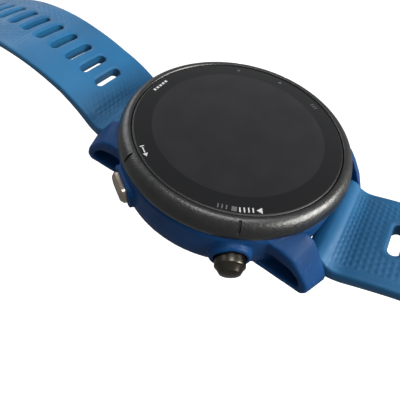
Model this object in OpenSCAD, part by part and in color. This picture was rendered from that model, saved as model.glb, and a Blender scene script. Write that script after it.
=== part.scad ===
// Round GPS sports watch on a silicone quick-release band, lying open on a table.
// Units are millimetres. +Z is the display's normal, +Y points to 12 o'clock and
// +X to 3 o'clock. The origin is the centre of the rear sensor glass, so z = 0 is
// also the surface the watch lies on.

/* [Case] */
// Diameter of the case and of the bezel
case_d = 45.6; // [45:0.2:56]
// Thickness from the back cover to the top of the bezel
case_h = 12.4; // [12.1:0.1:15.5]
// Height of the rear sensor bump below the back cover
bump_h = 1.3; // [1:0.1:2]
// Thickness of the case wall
wall = 4.0; // [3.6:0.1:4.4]
// Height of the bezel above the case rim
bezel_h = 3.5; // [3.2:0.1:3.9]
// Thickness of the back cover
cover_t = 1.2; // [1:0.1:1.4]

/* [Display] */
// Diameter of the cover lens
lens_d = 40.2; // [39:0.2:40.6]
// Thickness of the cover lens
lens_t = 1.2; // [1:0.1:1.4]
// Diameter of the display's active area
display_d = 33; // [28:0.5:34]

/* [Lugs and spring bars] */
// Free width between a pair of lugs
lug_gap = 22.4; // [18:0.2:24]
// Distance of each spring bar in front of the case wall
bar_reach = 2.0; // [1.8:0.1:3]
// Height of the spring bars above the table
bar_z = 3.1; // [2.9:0.1:4]
// Radius of a spring bar's pins
pin_r = 0.4; // [0.3:0.05:0.5]
// Travel of a quick-release pin
release_travel = 1.5; // [1.3:0.1:1.6]

/* [Buttons] */
// Height of the button axes above the table
button_z = 5.6; // [5.4:0.1:6.2]
// Travel of every button
button_travel = 0.5; // [0.3:0.1:0.6]
// Radius of the round start button's cap
round_cap_r = 2.7; // [2.2:0.1:2.9]
// Length of a bar-shaped button's cap, around the case
bar_cap_l = 6.0; // [5:0.1:6.6]
// Height of a bar-shaped button's cap
bar_cap_h = 3.8; // [3:0.1:4.2]
// Radius of every button's stem
stem_r = 1.1; // [0.8:0.05:1.3]

/* [Band] */
// Thickness of the band past the lugs
band_t = 2.6; // [2.2:0.1:3.2]
// Amount by which the band's edges sit below its crown
band_crown = 0.9; // [0.4:0.1:1.2]
// Width of the band past its shoulders
band_w = 20.6; // [16:0.2:22]
// Distance between neighbouring adjustment slots
slot_pitch = 4.4; // [4:0.1:5.5]
// Length of a slot, across the band
slot_l = 7.5; // [5:0.1:9]
// Width of a slot, along the band
slot_w = 2.0; // [1.6:0.1:2.4]
// Number of slots in the long half
slot_count = 19; // [10:1:19]
// Length of the long half's flat tip
tip_l = 30; // [20:1:40]

/* [Buckle] */
// Radius of the buckle's pin
buckle_pin_r = 0.75; // [0.6:0.05:0.9]
// Length of the buckle frame beyond its pin
buckle_l = 12; // [11:0.5:16]
// Width of each side arm of the buckle frame
buckle_arm = 2.2; // [1.8:0.1:3]

/* [Hidden] */
$fn = 72;
eps = 0.01;

// Clearances
run_gap = 0.05;      // radial running clearance of pins, stems and the buckle pin
fit_gap = 0.1;       // clearance between pieces that drop into one another
cap_gap = 0.12;      // clearance around a button cap in its collar
band_gap = 0.4;      // clearance between the band and each lug
keeper_gap = 0.25;   // clearance between a keeper and the band

// Case levels and radii
case_r = case_d / 2;
cavity_r = case_r - wall;
z_cover = bump_h;
z_ledge = z_cover + cover_t + fit_gap;
z_top = bump_h + case_h;
z_rim = z_top - bezel_h;
cover_r = cavity_r + 1.1;

// Bezel and lens
lens_r = lens_d / 2;
z_lens_top = z_top - 0.2;
z_lens = z_lens_top - lens_t;
gasket_t = 0.2;
z_shelf = z_lens - gasket_t;
lip_t = 1.1;
z_lip = z_shelf - lip_t;
lip_r = lens_r - 1.1;
skirt_in = case_r - 2.5;
skirt_out = case_r - 1.6;
skirt_h = 1.5;
z_upstand = z_rim - 0.4;
bezel_top_r = case_r - 2.2;
bezel_side_h = 0.6;
bezel_chamfer = 0.3;

// Inner stack
tray_floor = z_ledge + 0.8;
tray_r = cavity_r - 0.5 - button_travel - fit_gap;
deck_z = 7.0 + (case_h - 12.4) / 2;
deck_t = 0.6;
board_z = deck_z + deck_t + fit_gap;
board_t = 0.8;
board_r = cavity_r - 0.3;
battery_size = [18, 15, 3.4];
battery_y = -4.5;
tray_wall = 0.8;
coin_r = 4;
coin_t = 2.6;
coin_pos = [6, 9.5];
screw_ring = cavity_r - 1.5;
screw_angles = [60, 120, 240, 300];
boss_r = 1.9;
boss_h = 3.6;
screw_r = 0.7;
screw_head_r = 1.3;
screw_head_t = 0.7;

// Rear sensor and charging port
sensor_r = 7.4;
sensor_hole_r = 6.2;
boss_foot_r = 10.5;
charge_y = -14;
charge_size = [8.6, 3.8];
charge_pin_pitch = 1.3;

// Buttons: the angles run anticlockwise from 3 o'clock
start_a = 30;
back_a = -30;
light_a = 150;
up_a = 180;
down_a = 210;
bar_angles = [back_a, light_a, up_a, down_a];
all_angles = [start_a, back_a, light_a, up_a, down_a];
bore_floor = case_r - 1.4;
cap_back = bore_floor + button_travel + 0.2;
round_collar_r = round_cap_r + 1.0;
round_collar_top = case_r + 1.2;
round_cap_top = case_r + 4.0;
guard_rim = 1.1;
bar_corner = 1.2;
guard_top = case_r + 0.8;
bar_cap_top = case_r + 2.0;
cap_bevel = 0.5;
stem_end = cavity_r - 0.5;
clip_t = 0.3;
seal_w = 0.6;
switch_front = stem_end - button_travel - 0.15;
switch_depth = 1.2;
flex_t = 0.3;

// Lugs: side profiles [distance from the centre, height] at the inner and outer faces
bar_y = case_r + bar_reach;
lug_in = lug_gap / 2;
lug_out = lug_in + 5.2;
channel_y = case_r - 0.6;
lug_inner = [[8, z_rim], [bar_y - 4.4, z_rim], [bar_y - 3.1, z_rim - 0.6], [bar_y - 1.7, z_rim - 2.1],
    [bar_y + 0.9, bar_z + 1.7], [bar_y + 2.4, bar_z - 0.3], [bar_y + 2.8, 1.6], [bar_y + 2.3, 0.6],
    [bar_y + 1.2, 0.3], [8, 1.4]];
lug_outer = [[8, z_rim - 0.3], [bar_y - 8.6, z_rim - 0.9], [bar_y - 6.6, z_rim - 1.1], [bar_y - 4.4, z_rim - 1.9],
    [bar_y - 2.1, z_rim - 4.0], [bar_y + 0.3, bar_z + 0.4], [bar_y + 0.9, 1.8], [bar_y + 0.2, 0.6], [8, 1.4]];
leaf = [[bar_y - 0.8, 2.3], [bar_y - 1.9, 4.1], [bar_y - 3.8, 5.5], [bar_y - 6.3, 6.3], [bar_y - 8.6, 6.6],
    [bar_y - 10.4, 5.4], [bar_y - 10.4, 2.2], [bar_y - 6.5, 1.7], [bar_y - 2.2, 1.4], [bar_y - 1.1, 1.5]];
leaf_floor = 2.2;

// Band: each path is a list of arcs [length, start slope, end slope]
barrel_r = 2.1;
end_barrel_r = 1.9;
band_root_w = lug_gap - 2 * band_gap;
shoulder_l = 12;
slot_first = 11;
function arc_y(a) = a[1] == a[2] ? a[0] * cos(a[1]) : a[0] / (a[2] - a[1]) * 180 / PI * (sin(a[2]) - sin(a[1]));
function arc_z(a) = a[1] == a[2] ? a[0] * sin(a[1]) : -a[0] / (a[2] - a[1]) * 180 / PI * (cos(a[2]) - cos(a[1]));
function sum_z(p, i = 0) = i >= len(p) ? 0 : arc_z(p[i]) + sum_z(p, i + 1);
function sum_l(p, i = 0) = i >= len(p) ? 0 : p[i][0] + sum_l(p, i + 1);
// A path's falling straight is as long as it takes to bring its end down to z_end
function to_table(head, slope, tail, z_end) = concat(head,
    [[(bar_z + sum_z(head) + sum_z(tail) - z_end) / sin(-slope), slope, slope]], tail);
long_path = to_table([[2.2, 0, 0], [3.6, 0, 36], [7, 36, 21], [20, 21, 0], [17, 0, -16]],
    -16, [[8, -16, 0], [tip_l, 0, 0]], band_t / 2);
short_path = to_table([[2.2, 0, 0], [3, 0, 26], [6, 26, 22], [18, 22, 0], [12, 0, -14]],
    -14, [[4.4, -14, 0], [4, 0, 0]], end_barrel_r);
long_l = sum_l(long_path);
short_l = sum_l(short_path);
long_flex_s = slot_first + 5.5 * slot_pitch;
short_flex_s = slot_first + 4.5 * slot_pitch;
short_slots = 3;
flex_r = band_t / 2 - 0.05;
flex_w = 15;

// A point on a path: [y, z, slope] at distance s from the spring bar
function at(p, s, i = 0, y = bar_y, z = bar_z) =
    s <= p[i][0] || i == len(p) - 1
    ? let (b = p[i][1] + (p[i][2] - p[i][1]) * s / p[i][0], part = [s, p[i][1], b])
        [y + (s == 0 ? 0 : arc_y(part)), z + (s == 0 ? 0 : arc_z(part)), b]
    : at(p, s - p[i][0], i + 1, y + arc_y(p[i]), z + arc_z(p[i]));
function mix(a, b, k) = a + (b - a) * max(0, min(1, k));
function thick(s) = mix(2 * barrel_r - 0.2, band_t, s / (2 * shoulder_l));
function width(s, s_end, round_l) =
    mix(band_root_w, band_w, (s - 3) / shoulder_l)
    * (s > s_end - round_l ? sqrt(max(0.1, 1 - pow((s - s_end + round_l) / round_l, 2))) : 1);
// Cross-section of the band: crowned on top, with soft lower corners
section_x = [-1, -0.9, -0.7, -0.4, 0, 0.4, 0.7, 0.9, 1];
function section(w, t) = concat(
    [for (x = section_x) [x * w / 2, t / 2 - band_crown * x * x]],
    [[w / 2 - 0.3, 0.5 - t / 2], [w / 2 - 1, -t / 2], [1 - w / 2, -t / 2], [0.3 - w / 2, 0.5 - t / 2]]);

buckle_p = at(short_path, short_l);
buckle_y = buckle_p[0];
buckle_z = buckle_p[1];
buckle_in = band_w / 2 + 1.0;
buckle_top = end_barrel_r + 1.1;
crossbar = 3.4;
tongue_w = 2.0;
tongue_notch = tongue_w + 1.2;
keeper_l = 6;
keeper_t = 1.1;
keeper_room = band_t + 0.5;
fixed_keeper_s = short_l - 13;
sliding_keeper_s = short_l - 27;

// ---- Shared shapes ----

// Turns a piece drawn along +Z so that it points outwards at a button's angle
module at_button(a, r = 0) {
    rotate([0, 0, a]) translate([r, 0, button_z]) rotate([0, 90, 0]) children();
}

// Outline with fully rounded short ends: l across, w high
module stadium(l, w) {
    square([l - w, w], center = true);
    for (s = [-1, 1]) translate([s * (l - w) / 2, 0]) circle(d = w);
}

// Rectangle with round corners
module round_rect(l, w, r) {
    square([l - 2 * r, w], center = true);
    square([l, w - 2 * r], center = true);
    for (x = [-1, 1], y = [-1, 1]) translate([x * (l / 2 - r), y * (w / 2 - r)]) circle(r = r, $fn = 32);
}

// Outline of a bar-shaped button's cap, grown by g all round
module bar_outline(g) { round_rect(bar_cap_l + 2 * g, bar_cap_h + 2 * g, bar_corner + g); }

// Places children at distance s along a path, lying along its slope
module along(p, s) {
    q = at(p, s);
    translate([0, q[0], q[1]]) rotate([q[2], 0, 0]) children();
}

// The 12 o'clock side as drawn; the 6 o'clock side is the same turned half round
module six_side() { rotate([0, 0, 180]) children(); }

// Solid band between two distances along a path
module sweep(p, s0, s1, s_end, round_l) {
    steps = ceil((s1 - s0) / 2.2);
    rings = [for (i = [0 : steps]) let (s = s0 + (s1 - s0) * i / steps, q = at(p, s))
        [for (c = section(width(s, s_end, round_l), thick(s)))
            [c[0], q[0] - c[1] * sin(q[2]), q[1] + c[1] * cos(q[2])]]];
    n = len(rings[0]);
    points = [for (ring = rings, v = ring) v];
    sides = [for (i = [0 : steps - 1], j = [0 : n - 1], h = [0, 1])
        let (a = i * n + j, b = i * n + (j + 1) % n)
        h == 0 ? [a, b + n, b] : [a, a + n, b + n]];
    first = [for (j = [0 : n - 1]) j];
    last = [for (j = [n - 1 : -1 : 0]) steps * n + j];
    polyhedron(points, concat([first], sides, [last]), convexity = 6);
}

// Row of slots through the band
module slots(p, from, to) {
    for (i = [from : to]) along(p, slot_first + i * slot_pitch)
        linear_extrude(4 * band_t, center = true) stadium(slot_l, slot_w);
}

// Cylinder along X
module x_rod(r, l) { rotate([0, 90, 0]) cylinder(r = r, h = l, center = true); }

// ---- Case ----

module lug() {
    difference() {
        hull() {
            translate([lug_in, 0, 0]) rotate([90, 0, 90]) linear_extrude(0.6) polygon(lug_inner);
            translate([lug_out - 0.6, 0, 0]) rotate([90, 0, 90]) linear_extrude(0.6) polygon(lug_outer);
        }
        // Leaf-shaped recess in the outer side, stopped short of the cavity
        difference() {
            translate([lug_in + leaf_floor, 0, 0]) rotate([90, 0, 90]) linear_extrude(12) polygon(leaf);
            cylinder(r = cavity_r + 2.4, h = z_top);
        }
        // Blind hole for the spring bar's pin
        translate([lug_in, bar_y, bar_z]) x_rod(pin_r + run_gap, 3.2);
    }
}

module case_outside() {
    rotate_extrude($fn = 120) polygon([[0, z_cover + 0.2], [cover_r + 0.9, z_cover + 0.2],
        [case_r - 0.5, z_cover + 0.5], [case_r + 0.05, z_cover + 1.1], [case_r + 0.2, z_cover + 2.4],
        [case_r + 0.2, z_cover + 4], [case_r, z_rim - 1.6], [case_r, z_rim - 0.7], [case_r - 0.5, z_rim],
        [0, z_rim]]);
    for (x = [0, 1], y = [0, 1]) mirror([x, 0, 0]) mirror([0, y, 0]) lug();
    at_button(start_a, cavity_r + 1) cylinder(r = round_collar_r, h = round_collar_top - cavity_r - 1.4);
    at_button(start_a, round_collar_top - 0.4) cylinder(r1 = round_collar_r, r2 = round_collar_r - 0.4, h = 0.4);
    for (a = bar_angles) at_button(a, cavity_r + 1) rotate([0, 0, 90])
        linear_extrude(guard_top - cavity_r - 1) bar_outline(guard_rim);
}

module case_inside() {
    // Cover seat, cavity and the groove that takes the bezel's skirt
    cylinder(r = cover_r + fit_gap, h = z_ledge);
    cylinder(r = cavity_r, h = z_top, $fn = 120);
    difference() {
        translate([0, 0, z_rim - skirt_h - fit_gap]) cylinder(r = skirt_out + fit_gap, h = z_top);
        translate([0, 0, -eps]) cylinder(r = skirt_in - fit_gap, h = z_upstand + eps);
    }
    // Bores, seal grooves and cap pockets
    for (a = all_angles) {
        at_button(a, cavity_r - 2) cylinder(r = stem_r + run_gap, h = wall + 6);
        at_button(a, cavity_r + 0.9) cylinder(r = stem_r + 0.55, h = seal_w + 0.1);
    }
    at_button(start_a, bore_floor) cylinder(r = round_cap_r + cap_gap, h = 8);
    for (a = bar_angles) at_button(a, bore_floor) rotate([0, 0, 90])
        linear_extrude(8) bar_outline(cap_gap);
    // Room for the band's barrels between the lugs
    for (s = [-1, 1]) translate([0, s * (channel_y + 10), z_rim / 2 - 0.6])
        cube([lug_gap, 20, z_rim], center = true);
}

module screw_bosses() {
    for (a = screw_angles) rotate([0, 0, a]) difference() {
        intersection() {
            translate([screw_ring, 0, z_ledge + 0.3]) cylinder(r = boss_r, h = boss_h - 0.3);
            cylinder(r = cavity_r + 0.5, h = z_top);
        }
        translate([screw_ring, 0, 0]) cylinder(r = screw_r + 0.02, h = z_ledge + boss_h - 0.8);
    }
}

module case_body() {
    color([0.10, 0.22, 0.46]) {
        difference() {
            case_outside();
            case_inside();
        }
        screw_bosses();
    }
}

module back_cover() {
    color([0.08, 0.08, 0.09]) difference() {
        rotate_extrude() polygon([[sensor_hole_r, z_cover + cover_t], [cover_r, z_cover + cover_t],
            [cover_r, z_cover + 0.3], [cover_r - 0.3, z_cover], [boss_foot_r, z_cover],
            [sensor_r + 0.9, 0.2], [sensor_r + fit_gap, 0.2], [sensor_r + fit_gap, 1.1],
            [sensor_hole_r, 1.1]]);
        for (a = screw_angles) rotate([0, 0, a]) translate([screw_ring, 0, 0]) {
            cylinder(r = screw_r + 0.1, h = 6);
            cylinder(r = screw_head_r + fit_gap, h = z_cover + screw_head_t);
        }
        translate([0, charge_y, 0]) linear_extrude(6)
            round_rect(charge_size[0] + 2 * fit_gap, charge_size[1] + 2 * fit_gap, 1);
        // Groove for the sealing ring
        translate([0, 0, z_cover + cover_t - 0.4]) difference() {
            cylinder(r = cover_r - 0.2, h = 2);
            translate([0, 0, -1]) cylinder(r = cavity_r + 0.2, h = 4);
        }
    }
}

module cover_gasket() {
    color([0.7, 0.2, 0.15]) translate([0, 0, z_cover + cover_t - 0.4]) difference() {
        cylinder(r = cover_r - 0.25, h = 0.5);
        translate([0, 0, -1]) cylinder(r = cavity_r + 0.25, h = 3);
    }
}

module back_screws() {
    color([0.45, 0.45, 0.47]) for (a = screw_angles) rotate([0, 0, a]) translate([screw_ring, 0, 0]) difference() {
        union() {
            translate([0, 0, z_cover + 0.05]) cylinder(r = screw_head_r, h = screw_head_t - 0.05);
            translate([0, 0, z_cover]) cylinder(r = screw_r, h = cover_t + boss_h - 1.2);
        }
        translate([0, 0, z_cover - 0.3]) cylinder(r = 0.55, h = 0.75, $fn = 6);
    }
}

// ---- Bezel and display ----

bezel_curve = [for (t = [0 : 15 : 90]) [bezel_top_r + (case_r - bezel_top_r) * sin(t),
    z_rim + bezel_side_h + bezel_chamfer + (bezel_h - bezel_side_h - bezel_chamfer) * pow(cos(t), 1.35)]];

module bezel() {
    color([0.07, 0.07, 0.075]) difference() {
        rotate_extrude($fn = 120) polygon(concat(
            [[lip_r, z_lip], [lip_r, z_shelf], [lens_r + fit_gap, z_shelf], [lens_r + fit_gap, z_top - 0.35]],
            bezel_curve,
            [[case_r, z_rim + bezel_chamfer], [case_r - bezel_chamfer, z_rim + 0.05],
            [skirt_out, z_rim + 0.05], [skirt_out, z_rim - skirt_h], [skirt_in, z_rim - skirt_h],
            [skirt_in, z_lip]]));
        // Engraved tick beside each button
        for (a = all_angles) rotate([0, 0, a]) translate([case_r - 1.05, 0, z_top - 0.75])
            rotate([0, 49, 0]) translate([-1.1, -0.17, -0.35]) cube([2.2, 0.34, 3]);
    }
}

module lens() {
    color([0.03, 0.03, 0.035]) rotate_extrude($fn = 120) polygon([[0, z_lens], [lens_r, z_lens],
        [lens_r, z_lens_top - 0.25], [lens_r - 0.6, z_lens_top], [0, z_lens_top]]);
}

module lens_gasket() {
    color([0.15, 0.15, 0.15]) translate([0, 0, z_shelf]) difference() {
        cylinder(r = lens_r, h = gasket_t);
        translate([0, 0, -1]) cylinder(r = lip_r, h = 3);
    }
}

module display_panel() {
    color([0.12, 0.11, 0.12]) translate([0, 0, z_lens - 1.8]) cylinder(d = display_d + 0.8, h = 1.7);
}

module display_frame() {
    color([0.2, 0.2, 0.22]) difference() {
        union() {
            translate([0, 0, z_upstand]) cylinder(r = skirt_in - 0.2, h = 0.8);
            translate([0, 0, z_upstand]) cylinder(r = lip_r - fit_gap, h = z_lens - z_upstand - fit_gap);
        }
        translate([0, 0, z_lens - 1.9]) cylinder(d = display_d + 0.8 + 2 * fit_gap, h = 4);
        cylinder(d = display_d - 2, h = z_top);
    }
}

// ---- Electronics ----

module main_board() {
    color([0.05, 0.35, 0.2]) translate([0, 0, board_z]) difference() {
        cylinder(r = board_r, h = board_t);
        translate([0, board_r, 0]) cube([6, 3, 4], center = true);
    }
}

module shield_cans() {
    color([0.75, 0.75, 0.76]) translate([0, 0, board_z + board_t]) {
        translate([-8, -7, 0]) cube([10, 12, 0.5]);
        translate([4, -9, 0]) cube([7, 8, 0.5]);
        translate([4, 2, 0]) cube([6, 6, 0.5]);
    }
}

module gps_antenna() {
    color([0.85, 0.6, 0.3]) translate([0, 0, board_z + board_t]) difference() {
        cylinder(r = board_r - 0.4, h = 0.6);
        translate([0, 0, -1]) cylinder(r = board_r - 1.0, h = 3);
        translate([0, board_r, 0]) cube([8, 6, 4], center = true);
    }
}

module battery_tray() {
    inner = [battery_size[0] + 2 * fit_gap, battery_size[1] + 2 * fit_gap];
    color([0.25, 0.25, 0.27]) {
        translate([0, 0, deck_z]) difference() {
            cylinder(r = tray_r, h = deck_t);
            for (x = [-1, 1]) translate([x * coin_pos[0], coin_pos[1], -1]) cylinder(r = 2, h = 3);
        }
        translate([0, battery_y, tray_floor]) linear_extrude(deck_z - tray_floor + eps) difference() {
            square([inner[0] + 2 * tray_wall, inner[1] + 2 * tray_wall], center = true);
            square(inner, center = true);
        }
    }
}

module battery() {
    color([0.55, 0.57, 0.6]) translate([0, battery_y, deck_z - fit_gap - battery_size[2] / 2])
        cube(battery_size, center = true);
}

module coin(x) {
    translate([x * coin_pos[0], coin_pos[1], deck_z - coin_t - fit_gap]) {
        cylinder(r = coin_r, h = coin_t - 0.4);
        cylinder(r = coin_r - 0.6, h = coin_t);
    }
}

module vibration_motor() { color([0.7, 0.7, 0.72]) coin(-1); }

module buzzer() {
    color([0.8, 0.65, 0.3]) difference() {
        coin(1);
        translate([coin_pos[0], coin_pos[1], deck_z - coin_t - 1]) cylinder(r = 0.8, h = 1.6);
    }
}

module sensor_board() {
    color([0.05, 0.3, 0.18]) {
        translate([0, 0, z_ledge + 0.05]) cylinder(r = sensor_hole_r + 0.5, h = 0.6);
        for (a = [0 : 60 : 300]) rotate([0, 0, a]) translate([3.6, 0, z_ledge - 0.35])
            cube([1.6, 1.2, 0.9], center = true);
        translate([0, 0, z_ledge - 0.35]) cube([2.2, 2.2, 0.9], center = true);
    }
}

module sensor_window() {
    color([0.05, 0.05, 0.06]) rotate_extrude() polygon([[0, 0], [sensor_r - 0.4, 0], [sensor_r, 0.3],
        [sensor_r, 1.0], [0, 1.0]]);
}

module charge_port() {
    color([0.12, 0.12, 0.13]) translate([0, charge_y, 0]) difference() {
        translate([0, 0, z_cover + 0.05]) linear_extrude(cover_t + 0.4) round_rect(charge_size[0], charge_size[1], 0.9);
        translate([0, 0, z_cover - 1]) linear_extrude(1.9) round_rect(charge_size[0] - 2, charge_size[1] - 1.4, 0.6);
        for (i = [-1.5 : 1 : 1.5]) translate([i * charge_pin_pitch, 0, 0]) cylinder(r = 0.4, h = 6);
    }
}

module charge_pins() {
    color([0.9, 0.75, 0.35]) for (i = [-1.5 : 1 : 1.5]) translate([i * charge_pin_pitch, charge_y, z_cover + 0.5])
        cylinder(r = 0.36, h = cover_t + 0.3);
}

// ---- Buttons ----

module button_seals() {
    color([0.1, 0.1, 0.1]) for (a = all_angles) at_button(a, cavity_r + 0.95) difference() {
        cylinder(r = stem_r + 0.5, h = seal_w);
        translate([0, 0, -1]) cylinder(r = stem_r + 0.03, h = 3);
    }
}

module stem(a) {
    at_button(a, stem_end) difference() {
        cylinder(r = stem_r, h = cap_back - stem_end + eps);
        // Groove for the retaining clip
        translate([0, 0, 0.1]) difference() {
            cylinder(r = stem_r + 1, h = clip_t + 0.04);
            translate([0, 0, -1]) cylinder(r = stem_r - 0.35, h = 3);
        }
    }
}

module clip(a) {
    color([0.6, 0.6, 0.62]) at_button(a, stem_end + 0.12) difference() {
        cylinder(r = stem_r + 0.5, h = clip_t);
        translate([0, 0, -1]) cylinder(r = stem_r - 0.33, h = 3);
        translate([0, -0.5, -1]) cube([4, 1, 3]);
    }
}

module round_button(a) {
    color([0.35, 0.35, 0.34]) {
        stem(a);
        rotate([0, 0, a]) translate([0, 0, button_z]) rotate([0, 90, 0]) rotate_extrude() polygon([
            [0, cap_back], [round_cap_r, cap_back], [round_cap_r, round_cap_top - 1.9],
            [round_cap_r - 0.2, round_cap_top - 1.0], [round_cap_r - 0.75, round_cap_top - 0.25],
            [round_cap_r - 1.2, round_cap_top - 0.05], [0.6, round_cap_top], [0, round_cap_top]]);
    }
}

module bar_button(a) {
    color([0.62, 0.58, 0.54]) {
        stem(a);
        difference() {
            at_button(a, cap_back) rotate([0, 0, 90]) linear_extrude(bar_cap_top - cap_back)
                bar_outline(0);
            // Bevels along the edges of the cap's face
            for (s = [-1, 1]) at_button(a, bar_cap_top) {
                translate([s * bar_cap_h / 2, 0, 0]) rotate([0, 45, 0])
                    cube([2 * cap_bevel, bar_cap_l + 1, 2 * cap_bevel], center = true);
                translate([0, s * bar_cap_l / 2, 0]) rotate([45, 0, 0])
                    cube([bar_cap_h + 1, 2 * cap_bevel, 2 * cap_bevel], center = true);
            }
        }
    }
}

module switch_flex() {
    color([0.75, 0.45, 0.15]) {
        for (a = [0, 180]) rotate([0, 0, a]) intersection() {
            translate([0, 0, button_z - 1]) difference() {
                cylinder(r = switch_front - switch_depth, h = 2);
                translate([0, 0, -1]) cylinder(r = switch_front - switch_depth - flex_t, h = 4);
            }
            rotate([0, 0, -38]) rotate_extrude(angle = 76) square([case_r, z_top]);
        }
        for (a = all_angles) rotate([0, 0, a]) {
            translate([switch_front - switch_depth / 2 - 0.2, 0, button_z]) cube([switch_depth, 3, 2], center = true);
            translate([switch_front - 0.3, 0, button_z]) rotate([0, 90, 0]) cylinder(r = 0.7, h = 0.3);
        }
    }
}

// ---- Spring bars, drawn on the 12 o'clock side ----

tube_l = band_root_w - 1.2;
tube_r = 0.9;
tube_wall = 0.3;
pin_reach = lug_in + 1.2;
shoulder_x = tube_l / 2 - 1.4;
lever_x = tube_l / 2 - 3.2;

module on_bar() { translate([0, bar_y, bar_z]) children(); }

module bar_tube() {
    color([0.75, 0.75, 0.77]) on_bar() difference() {
        x_rod(tube_r, tube_l);
        x_rod(tube_r - tube_wall, tube_l - 1);
        x_rod(pin_r + run_gap, tube_l + 1);
        translate([lever_x - release_travel - 0.5, -0.5, -2]) cube([release_travel + 1.6, 1, 2]);
    }
}

// Pin with a shoulder that stays inside the tube, pointing to +X
module bar_pin(tail) {
    for (part = [[pin_r, tail, pin_reach], [tube_r - tube_wall - run_gap, tail, shoulder_x + 0.7]])
        translate([(part[1] + part[2]) / 2, 0, 0]) x_rod(part[0], part[2] - part[1]);
}

module fixed_pin() { color([0.7, 0.7, 0.72]) on_bar() mirror([1, 0, 0]) bar_pin(shoulder_x); }

module release_pin() {
    color([0.7, 0.7, 0.72]) on_bar() {
        bar_pin(lever_x - 0.3);
        translate([lever_x, 0, -tube_r]) cube([0.6, 0.7, 2 * tube_r], center = true);
        translate([lever_x, 0, -barrel_r + 0.35]) cube([1.2, 1.4, 0.7], center = true);
    }
}

// Coil spring, drawn at the length it has when the pin is drawn back
spring_wire = 0.12;
spring_coil = 0.4;
spring_turns = 12;
spring_steps = 10;
module bar_spring() {
    x0 = -shoulder_x + 0.2;
    x1 = lever_x - 0.5 - release_travel;
    n = spring_turns * spring_steps;
    points = [for (i = [0 : n]) let (t = 360 * i / spring_steps, x = x0 + (x1 - x0) * i / n)
        for (k = [0 : 4]) let (r = spring_coil + spring_wire * cos(72 * k))
            [x + spring_wire * sin(72 * k), r * cos(t), r * sin(t)]];
    sides = [for (i = [0 : n - 1], k = [0 : 4], h = [0, 1]) let (a = i * 5 + k, b = i * 5 + (k + 1) % 5)
        h == 0 ? [a, b, b + 5] : [a, b + 5, a + 5]];
    color([0.8, 0.8, 0.82]) on_bar()
        polyhedron(points, concat([[4, 3, 2, 1, 0]], sides, [[for (k = [0 : 4]) n * 5 + k]]), convexity = 8);
}

// ---- Band ----

module band_root(p, flex_s, last_slot) {
    difference() {
        union() {
            difference() {
                sweep(p, 0, flex_s, 999, 1);
                slots(p, 0, last_slot);
            }
            on_bar() x_rod(barrel_r, band_root_w);
            along(p, flex_s) x_rod(flex_r, flex_w);
        }
        on_bar() {
            x_rod(tube_r + run_gap, band_root_w + 1);
            // Window in the underside for the release lever
            translate([lever_x - release_travel - 1, -1, -barrel_r - 1]) cube([release_travel + 2.2, 2, barrel_r + 1]);
        }
    }
}

module band_long_root() { color([0.18, 0.44, 0.65]) six_side() band_root(long_path, long_flex_s, 5); }

module band_long_tip() {
    color([0.18, 0.44, 0.65]) six_side() difference() {
        sweep(long_path, long_flex_s, long_l, long_l, 9);
        along(long_path, long_flex_s) x_rod(flex_r + fit_gap, band_w + 4);
        slots(long_path, 6, slot_count - 1);
    }
}

module band_short_root() { color([0.14, 0.35, 0.55]) band_root(short_path, short_flex_s, short_slots - 1); }

module band_short_tip() {
    color([0.14, 0.35, 0.55]) difference() {
        union() {
            sweep(short_path, short_flex_s, short_l, 999, 1);
            translate([0, buckle_y, buckle_z]) x_rod(end_barrel_r, band_w);
        }
        along(short_path, short_flex_s) x_rod(flex_r + fit_gap, band_w + 4);
        translate([0, buckle_y, buckle_z]) {
            x_rod(buckle_pin_r + run_gap, band_w + 2);
            // Notch for the tongue
            translate([0, -1.5, 0]) cube([tongue_notch, 7, 8], center = true);
        }
    }
}

// ---- Keepers and buckle ----

module keeper(s) {
    in_w = band_w + 2 * keeper_gap;
    in_h = band_t + keeper_room + keeper_gap;
    along(short_path, s) translate([0, 0, in_h / 2 - band_t / 2 - keeper_gap]) rotate([90, 0, 0])
        linear_extrude(keeper_l, center = true) difference() {
            round_rect(in_w + 2 * keeper_t, in_h + 2 * keeper_t, 1.4);
            round_rect(in_w, in_h, 0.6);
        }
}

module keeper_fixed() { color([0.14, 0.35, 0.55]) keeper(fixed_keeper_s); }

module keeper_sliding() {
    color([0.14, 0.35, 0.55]) {
        keeper(sliding_keeper_s);
        // Peg that drops into a slot of the long half
        along(short_path, sliding_keeper_s) translate([0, 0, band_t / 2 + keeper_room - 1.6]) cylinder(r = 0.8, h = 1.7);
    }
}

module buckle_frame() {
    outer = buckle_in + buckle_arm;
    color([0.12, 0.13, 0.15]) translate([0, buckle_y, buckle_z]) difference() {
        translate([0, 0, -end_barrel_r]) linear_extrude(buckle_top) difference() {
            union() {
                translate([-outer, -1.8]) square([2 * outer, buckle_l - 1]);
                translate([-outer + 2.8, 0]) square([2 * outer - 5.6, buckle_l]);
                for (s = [-1, 1]) translate([s * (outer - 2.8), buckle_l - 2.8]) circle(r = 2.8);
            }
            translate([-buckle_in, -3]) square([2 * buckle_in, buckle_l - crossbar + 3]);
        }
        x_rod(buckle_pin_r + 0.02, 2 * outer + 1);
        // Seat for the tongue's tip
        translate([0, buckle_l, buckle_top - end_barrel_r]) cube([tongue_w + 0.6, 2 * crossbar + 1, 1], center = true);
    }
}

module buckle_bar() {
    color([0.6, 0.6, 0.62]) translate([0, buckle_y, buckle_z]) x_rod(buckle_pin_r, 2 * (buckle_in + buckle_arm) - 0.4);
}

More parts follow.
